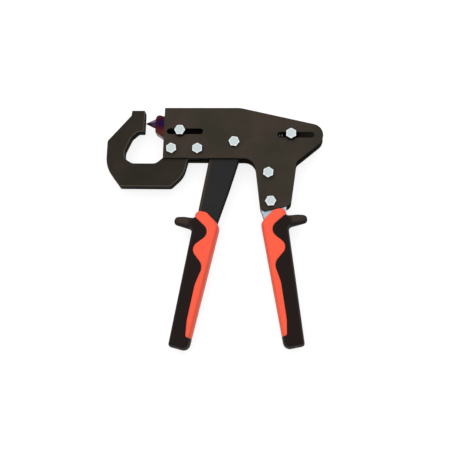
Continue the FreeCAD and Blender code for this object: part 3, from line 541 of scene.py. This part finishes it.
def rounded_path(corners, step):
    """Points about a step apart along an open path of corners (x, y, radius)."""
    corner_steps = 12
    places = [Vector((x, y)) for x, y, _ in corners]
    path = [places[0]]
    for index in range(1, len(corners) - 1):
        corner, radius = places[index], corners[index][2]
        back = (places[index - 1] - corner).normalized()
        ahead = (places[index + 1] - corner).normalized()
        half = back.angle(ahead) / 2
        centre = corner + (back + ahead).normalized() * (radius / math.sin(half))
        spoke = corner + back * (radius / math.tan(half)) - centre
        sweep = math.pi - 2 * half
        sign = -1 if back.x * ahead.y - back.y * ahead.x > 0 else 1
        for part in range(corner_steps + 1):
            angle = sign * sweep * part / corner_steps
            path.append(centre + Vector((spoke.x * math.cos(angle) - spoke.y * math.sin(angle),
                                         spoke.x * math.sin(angle) + spoke.y * math.cos(angle))))
    path.append(places[-1])
    points = np.array(path)
    lengths = np.hypot(*np.diff(points, axis=0).T)
    run = np.concatenate([[0.0], np.cumsum(lengths)])
    even = np.linspace(0, run[-1], max(2, round(run[-1] / step)) + 1)
    return np.column_stack([np.interp(even, run, points[:, axis]) for axis in (0, 1)])


def distance_to(points, path):
    """Each point's least distance to a polyline."""
    starts, ends = path[:-1], path[1:]
    along = ends - starts
    gap = points[:, None, :] - starts[None, :, :]
    share = np.clip((gap * along).sum(2) / np.maximum((along ** 2).sum(1), 1e-18), 0, 1)
    nearest = gap - share[..., None] * along
    return np.sqrt((nearest ** 2).sum(2).min(1))


def smooth(value, low, high):
    """A soft step from 0 at the low value to 1 at the high one."""
    share = np.clip((value - low) / (high - low), 0, 1)
    return share * share * (3 - 2 * share)


def swell(distance, reach, fullness=2.2):
    """Height share of a rounded edge, from 0 on the edge to 1 at its reach."""
    share = np.clip(1 - distance / reach, 0, 1)
    return (1 - share ** fullness) ** (1 / fullness)


class GripShape:
    """Outlines and surface of one grip, in millimetres along and out from its line."""

    def __init__(self, sizes):
        self.sizes = sizes
        step = sizes.spacing / MM
        inner = rounded_path([seam_start] + mouth_corners + [seam_end], step)
        self.inner = inner
        self.outer = rounded_path([seam_start] + guard_corners + end_corners + [seam_end], step)
        self.seam = rounded_path([seam_start] + seam_corners + [seam_end], step)
        # The mouth lies between the corner at the seam and the one at the grip's inner side.
        (_, top, _), _, (heel, bottom, _) = mouth_corners
        mouth = (inner[:, 0] < heel) & (inner[:, 1] < top - 1.5) & (inner[:, 1] > bottom + 2.5)
        within = np.nonzero(mouth)[0]
        self.mouth = inner[within[0]:within[-1] + 1]
        self.sides = [inner[:within[0] + 1], inner[within[-1]:], self.outer]

    def height(self, points):
        """Half the grip's thickness over each point, with the seam's groove."""
        sizes = self.sizes
        out = points[:, 1]
        on_guard = smooth(out, *guard_root)
        guard_half = sizes.guard_thickness / 2 + (
            sizes.guard_tip - sizes.guard_thickness) / 2 * smooth(out, *guard_taper)
        half = (sizes.thickness / 2 * (1 - on_guard) + guard_half * on_guard) / MM
        reach = (sizes.side_round * (1 - on_guard) + sizes.guard_round * on_guard) / MM
        side = np.minimum.reduce([distance_to(points, path) for path in self.sides])
        mouth = distance_to(points, self.mouth)
        dome = 1 - sizes.crown * (1 - swell(side, 2 * reach))
        high = half * dome * swell(side, reach) * swell(mouth, sizes.mouth_round / MM)
        seam = distance_to(points, self.seam)
        groove = sizes.seam_depth / MM * np.exp(-(seam / (sizes.seam_width / MM)) ** 2)
        deepest_share = 0.4
        return np.maximum(high - np.minimum(groove, high * deepest_share), 0)

    def guard_highlight(self, points):
        """Share of painted highlight at each point: most in the middle of the guard, less at its rim."""
        side = distance_to(points, self.outer)
        return smooth(points[:, 1], *guard_highlight_span) * smooth(side, *guard_highlight_rim)

    def fill(self, loop):
        """Points inside a loop: rings that close up towards its edge, and a sparse middle."""
        ahead = np.roll(loop, -1, axis=0) - np.roll(loop, 1, axis=0)
        normal = np.column_stack([-ahead[:, 1], ahead[:, 0]])
        normal /= np.hypot(*normal.T)[:, None]
        area = np.sum(loop[:, 0] * np.roll(loop[:, 1], -1) - np.roll(loop[:, 0], -1) * loop[:, 1])
        normal *= 1 if area > 0 else -1
        closed = np.vstack([loop, loop[:1]])
        kept = []
        first, growth, deepest = 0.12, 1.5, 7.0
        inset = first
        while inset < deepest:
            ring = loop + normal * inset
            kept.append(ring[distance_to(ring, closed) > 0.93 * inset])
            inset = inset * growth + first
        low, high = loop.min(0), loop.max(0)
        pitch, row_pitch = 1.7, 1.7 * 0.87
        grid = np.array([(x + (row % 2) * pitch / 2, y)
                         for row, y in enumerate(np.arange(low[1], high[1], row_pitch))
                         for x in np.arange(low[0], high[0], pitch)])
        grid = grid[inside_loop(grid, loop)]
        grid = grid[distance_to(grid, closed) > inset / growth + 0.6 * pitch]
        return np.vstack(kept + [grid])


def inside_loop(points, loop):
    """Which points lie inside a closed loop."""
    result = np.zeros(len(points), bool)
    for start, end in zip(loop, np.roll(loop, -1, axis=0)):
        crosses = (start[1] > points[:, 1]) != (end[1] > points[:, 1])
        rise = end[1] - start[1]
        at = start[0] + (points[:, 1] - start[1]) * (end[0] - start[0]) / (rise if rise else 1e-12)
        result ^= crosses & (points[:, 0] < at)
    return result


def moulding(name, shape, loop, place, side, lean):
    """One closed moulding over a loop: front and back faces that meet round its edge."""
    inner = shape.fill(loop)
    flat = [Vector(p) for p in np.vstack([loop, inner])]
    found, _, faces, *_ = delaunay_2d_cdt(flat, [], [list(range(len(loop)))], 1, 1e-5)
    points = np.array(found)
    high = shape.height(points) * MM
    along = Vector((side * math.sin(lean), -math.cos(lean), 0))
    outward = Vector((side * math.cos(lean), math.sin(lean), 0))
    bm = bmesh.new()
    guard_highlight = bm.verts.layers.float.new("guard_highlight")
    front, back = [], []
    for (down, out), z, highlight_share in zip(points * MM, high, shape.guard_highlight(points)):
        spot = place + along * down + outward * out
        front.append(bm.verts.new(spot + Vector((0, 0, z))))
        meets = z < 0.01 * MM
        back.append(front[-1] if meets else bm.verts.new(spot - Vector((0, 0, z))))
        front[-1][guard_highlight] = back[-1][guard_highlight] = highlight_share
    # An edge of one triangle only is on the rim, where a wall joins the two faces.
    uses = {}
    for face in faces:
        for verts in (front, back):
            ring = [verts[i] for i in (face if verts is front else reversed(face))]
            if bm.faces.get(ring) is None:
                bm.faces.new(ring)
        for a, b in zip(face, list(face[1:]) + [face[0]]):
            uses.setdefault(frozenset((a, b)), []).append((a, b))
    for pairs in uses.values():
        if len(pairs) > 1:
            continue
        a, b = pairs[0]
        ring = []
        for vert in (front[b], front[a], back[a], back[b]):
            if vert not in ring:
                ring.append(vert)
        if len(ring) > 2:
            bm.faces.new(ring)
    return add_mesh(name, bm, smooth_angle=50)


class PLIER_OT_grips(bpy.types.Operator):
    """Replace the four plain grip solids with crowned mouldings that meet in a grooved seam"""
    bl_idname = "plier.grips"
    bl_label = "Grips"

    def execute(self, context):
        sizes, colours = context.scene.plier_grips, context.scene.plier_colours
        shape = GripShape(sizes)
        core_loop = np.vstack([shape.inner, shape.seam[-2:0:-1]])
        cover_loop = np.vstack([shape.outer, shape.seam[-2:0:-1]])
        coral, rubber = coral_plastic(colours.coral), soft_rubber(colours.rubber)
        grips = (("lever", -1, sizes.lever_across, sizes.lever_down, sizes.lever_lean),
                 ("fixed", 1, sizes.fixed_across, sizes.fixed_down, sizes.fixed_lean))
        for handle, side, across, down, lean in grips:
            place = pivot + Vector((across, -down, 0))
            body = body_of_node[handle + "_grip_core"]
            core = moulding(handle + "_coral_moulding", shape, core_loop, place, side, lean)
            finish_piece(core, [handle + "_grip_core"], body, coral)
            cover = moulding(handle + "_soft_moulding", shape, cover_loop, place, side, lean)
            finish_piece(cover, [handle + "_grip_cover"], body, rubber)
        return {"FINISHED"}


def lathe_bolt(bm, centre, turn, low, high, sizes):
    """One hexagon bolt: dished and chamfered head, washer face, shank and cut thread."""
    steps = 72
    half = sizes.hex_width / 2
    face = high - sizes.head_height
    radius = sizes.diameter / 2
    rim = 0.93 * half
    washer_face = 0.92 * half
    relief = 0.3 * MM
    point = 0.8 * MM
    thread_top = min(low + sizes.thread_length, face - MM)

    def hexagon(angle):
        return half / math.cos(angle % (math.pi / 3) - math.pi / 6)

    def chamfered(angle):
        return high - (hexagon(angle) - rim) * math.tan(math.radians(30))

    # From the middle of the dish out and down: each ring's reach and height at an angle
    rings = [lambda a: (0.55 * half, high - sizes.dish_depth),
             lambda a: (0.72 * half, high - 0.6 * sizes.dish_depth),
             lambda a: (0.82 * half, high),
             lambda a: (rim, high),
             lambda a: (hexagon(a), chamfered(a)),
             lambda a: (hexagon(a), face + relief),
             lambda a: (washer_face, face + relief),
             lambda a: (washer_face, face),
             lambda a: (radius, face),
             lambda a: (radius, thread_top)]
    dish_rings = 3
    depth = 0.6 * sizes.pitch
    cuts_per_turn = 8
    flank = 2.2
    cuts = int((thread_top - low) / sizes.pitch * cuts_per_turn)
    for cut in range(1, cuts + 1):
        z = thread_top + (low - thread_top) * cut / cuts

        def threaded(angle, z=z):
            phase = (z / sizes.pitch - angle / math.tau) % 1
            groove = depth * min(1.0, flank * min(phase, 1 - phase))
            fade = min(1.0, (thread_top - z) / sizes.pitch)
            chamfer = radius - depth + z - low if z < low + point else radius
            return min(radius - (depth - groove) * fade, chamfer), z
        rings.append(threaded)
    dish = bm.verts.layers.float.get("dish") or bm.verts.layers.float.new("dish")
    spots = []
    for place, ring in enumerate(rings):
        row = []
        for step in range(steps):
            angle = math.tau * step / steps
            reach, z = ring(angle)
            real = angle + math.radians(turn)
            row.append(bm.verts.new((centre.x + reach * math.cos(real),
                                     centre.y + reach * math.sin(real), z)))
            row[-1][dish] = 1.0 if place < dish_rings else 0.0
        spots.append(row)
    for upper, lower in zip(spots, spots[1:]):
        for step in range(steps):
            after = (step + 1) % steps
            bm.faces.new((upper[step], upper[after], lower[after], lower[step]))
    for row, z in ((spots[0], high - sizes.dish_depth), (spots[-1], low)):
        middle = bm.verts.new((centre.x, centre.y, z))
        middle[dish] = 1.0 if row is spots[0] else 0.0
        for step in range(steps):
            bm.faces.new((middle, row[step], row[(step + 1) % steps]))


class PLIER_OT_bolts(bpy.types.Operator):
    """Replace the plain bolts with forged-head bolts that have a cut thread"""
    bl_idname = "plier.bolts"
    bl_label = "Bolts"

    def execute(self, context):
        sizes, colours = context.scene.plier_bolts, context.scene.plier_colours
        zinc = bright_zinc(colours.zinc)
        for node, bolts in bolt_groups.items():
            low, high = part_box(node)
            bm = bmesh.new()
            for across, up, turn in bolts:
                centre = pivot + Vector((across, up, 0)) * MM
                lathe_bolt(bm, centre, turn, low.z, high.z, sizes)
            piece = add_mesh(node + "_threaded", bm, smooth_angle=28)
            finish_piece(piece, [node], body_of_node[node], zinc)
        for node in ("jaw_lock_nuts", "handle_lock_nuts", "pivot_lock_nut", "guide_nuts",
                     "handle_spacers"):
            paint_node(node, zinc)
        paint_node("nut_inserts", nylon())
        paint_node("guide_washers", dark_steel("black_oxide_washer", "#141312"))
        return {"FINISHED"}


class PLIER_OT_spring(bpy.types.Operator):
    """Wind the return spring from round wire between its seat and the ram"""
    bl_idname = "plier.spring"
    bl_label = "Return spring"

    def execute(self, context):
        sizes = context.scene.plier_spring
        low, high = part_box("return_spring")
        radius = (high.z - low.z - sizes.wire) / 2
        start, end = low.x + sizes.wire / 2, high.x - sizes.wire / 2
        middle = (low + high) / 2
        pitch = (end - start - 2 * sizes.end_pitch) / (sizes.turns - 2)
        curve = bpy.data.curves.new("coil_line", "CURVE")
        curve.dimensions = "3D"
        curve.bevel_depth = sizes.wire / 2
        curve.bevel_resolution = 3
        curve.use_fill_caps = True
        spline = curve.splines.new("POLY")
        count = int(sizes.turns * sizes.steps) + 1
        spline.points.add(count - 1)
        for index, point in enumerate(spline.points):
            turn = index / sizes.steps
            closed = min(turn, 1.0) + max(0.0, turn - (sizes.turns - 1))
            x = start + closed * sizes.end_pitch + (turn - closed) * pitch
            angle = math.tau * turn
            point.co = (x, middle.y + radius * math.cos(angle),
                        middle.z + radius * math.sin(angle), 1)
        holder = bpy.data.objects.new("coil_line", curve)
        context.scene.collection.objects.link(holder)
        mesh = bpy.data.meshes.new_from_object(holder)
        bpy.data.objects.remove(holder)
        coil = bpy.data.objects.new("wound_return_spring", mesh)
        context.scene.collection.objects.link(coil)
        mesh.shade_smooth()
        mesh.materials.clear()
        mesh.materials.append(ground_steel("spring_wire_steel", "#8D8B8E"))
        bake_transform(coil)
        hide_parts("return_spring")
        return {"FINISHED"}


class PLIER_OT_steelwork(bpy.types.Operator):
    """Give the plates, jaw, punch, ram, lever and handle their finishes"""
    bl_idname = "plier.steelwork"
    bl_label = "Steelwork"

    def execute(self, context):
        colours = context.scene.plier_colours
        # Each finish gets its share of edge wear and painted highlight, then its line of painted shade.
        plate = phosphated_steel("phosphated_sheet_steel", colours.plate, linear("#6F675C"),
                                 0.25, 6.1 * MM)
        jaw = phosphated_steel("phosphated_forged_steel", colours.jaw, linear("#8A7F72"), 0.8,
                               -1 * MM)
        steel = ground_steel("ground_bar_steel", "#A8A8A6")
        finishes = {"front_side_plate": plate, "back_side_plate": plate, "anvil_jaw": jaw,
                    "punch": tempered_steel(), "lever_channel": lever_paint(colours.lever),
                    "fixed_handle_channel": zinc_sheet(colours.handle),
                    # The ram's blackened steel is darkened further to near black: painted shade for the slots it
                    # lies in.
                    "ram_bar": dark_steel("black_steel_painted_shade", "#050404"),
                    "pivot_sleeve": steel, "spring_seat": steel, "drive_pin": steel}
        for node, material in finishes.items():
            paint_node(node, material)
        return {"FINISHED"}


def seen_directly(tree):
    """1 for a camera, glossy or transmission ray, and 0 for the rest."""
    rays = add(tree, "ShaderNodeLightPath")
    either = add(tree, "ShaderNodeMath", {0: rays.outputs["Is Camera Ray"],
                                          1: rays.outputs["Is Glossy Ray"]}, operation="MAXIMUM")
    return add(tree, "ShaderNodeMath", {0: either.outputs["Value"],
                                        1: rays.outputs["Is Transmission Ray"]},
               operation="MAXIMUM").outputs["Value"]


def pale_floor_material():
    """Matt pale floor: to the camera it reads white, and it keeps the tool's shadow."""
    grey = (0.3, 0.3, 0.3, 1)
    material, tree, shader, _ = new_finish("pale_floor", Base_Color=grey, Roughness=0.9,
                                           Specular_IOR_Level=0.0)
    glow = add(tree, "ShaderNodeEmission", {"Color": (1, 1, 1, 1), "Strength": 0.8})
    both = add(tree, "ShaderNodeAddShader", {0: shader.outputs["BSDF"],
                                             1: glow.outputs["Emission"]})
    seen = add(tree, "ShaderNodeMixShader", {0: seen_directly(tree),
                                             1: shader.outputs["BSDF"],
                                             2: both.outputs["Shader"]})
    tree.links.new(seen.outputs["Shader"], tree.nodes["Material Output"].inputs["Surface"])
    return material


def white_sky(scene, strength):
    """Even world light, white where the camera or a gloss sees it."""
    world = bpy.data.worlds.new("white_sky")
    scene.world = world
    world.use_nodes = True
    tree = world.node_tree
    level = add(tree, "ShaderNodeMapRange", {"Value": seen_directly(tree), "To Min": strength,
                                             "To Max": 1.0})
    sky = tree.nodes["Background"]
    sky.inputs["Color"].default_value = (1, 1, 1, 1)
    tree.links.new(level.outputs["Result"], sky.inputs["Strength"])


class PLIER_OT_stage(bpy.types.Operator):
    """Set up the pale floor, the soft light and the camera"""
    bl_idname = "plier.stage"
    bl_label = "Floor, light and camera"

    def execute(self, context):
        scene, sizes = context.scene, context.scene.plier_stage
        scene.view_settings.view_transform = "Standard"
        bpy.ops.mesh.primitive_plane_add(size=sizes.floor_size, location=(0, 0, cad_low.z))
        floor = context.active_object
        floor.name = "floor"
        floor.data.materials.append(pale_floor_material())
        white_sky(scene, sizes.sky)
        light = bpy.data.lights.new("key_light", "AREA")
        light.energy = sizes.key_power
        light.size = sizes.key_size
        key = bpy.data.objects.new("key_light", light)
        # The sky is already white in every gloss, and the light must not add to it there.
        key.visible_glossy = False
        key.location = sizes.key_place
        key.rotation_euler = (-key.location).to_track_quat("-Z", "Y").to_euler()
        scene.collection.objects.link(key)
        camera_data = bpy.data.cameras.new("camera")
        camera_data.sensor_width = 36
        camera_data.lens = sizes.lens
        camera = bpy.data.objects.new("camera", camera_data)
        camera.location = pivot + Vector(sizes.camera_offset)
        camera.rotation_euler = Euler(sizes.camera_turn)
        scene.collection.objects.link(camera)
        scene.camera = camera
        return {"FINISHED"}


class PLIER_PT_panel(bpy.types.Panel):
    bl_idname = "PLIER_PT_panel"
    bl_label = "Section-setting plier"
    bl_space_type = "VIEW_3D"
    bl_region_type = "UI"
    bl_category = "Plier"

    def draw(self, context):
        for operator in operators:
            self.layout.operator(operator.bl_idname)


operators = (PLIER_OT_stage, PLIER_OT_steelwork, PLIER_OT_bolts, PLIER_OT_spring, PLIER_OT_grips)
settings = {"plier_grips": PlierGripSizes, "plier_bolts": PlierBoltSizes,
            "plier_spring": PlierSpringSizes, "plier_stage": PlierStageSizes,
            "plier_colours": PlierColours}


def register():
    for item in (*settings.values(), *operators, PLIER_PT_panel):
        bpy.utils.register_class(item)
    for name, group in settings.items():
        setattr(bpy.types.Scene, name, PointerProperty(type=group))


def unregister():
    for name in settings:
        delattr(bpy.types.Scene, name)
    for item in (PLIER_PT_panel, *reversed(operators), *reversed(settings.values())):
        bpy.utils.unregister_class(item)


def main():
    register()
    bpy.ops.plier.stage()
    bpy.ops.plier.steelwork()
    bpy.ops.plier.bolts()
    bpy.ops.plier.spring()
    bpy.ops.plier.grips()


if __name__ == "__main__":
    main()
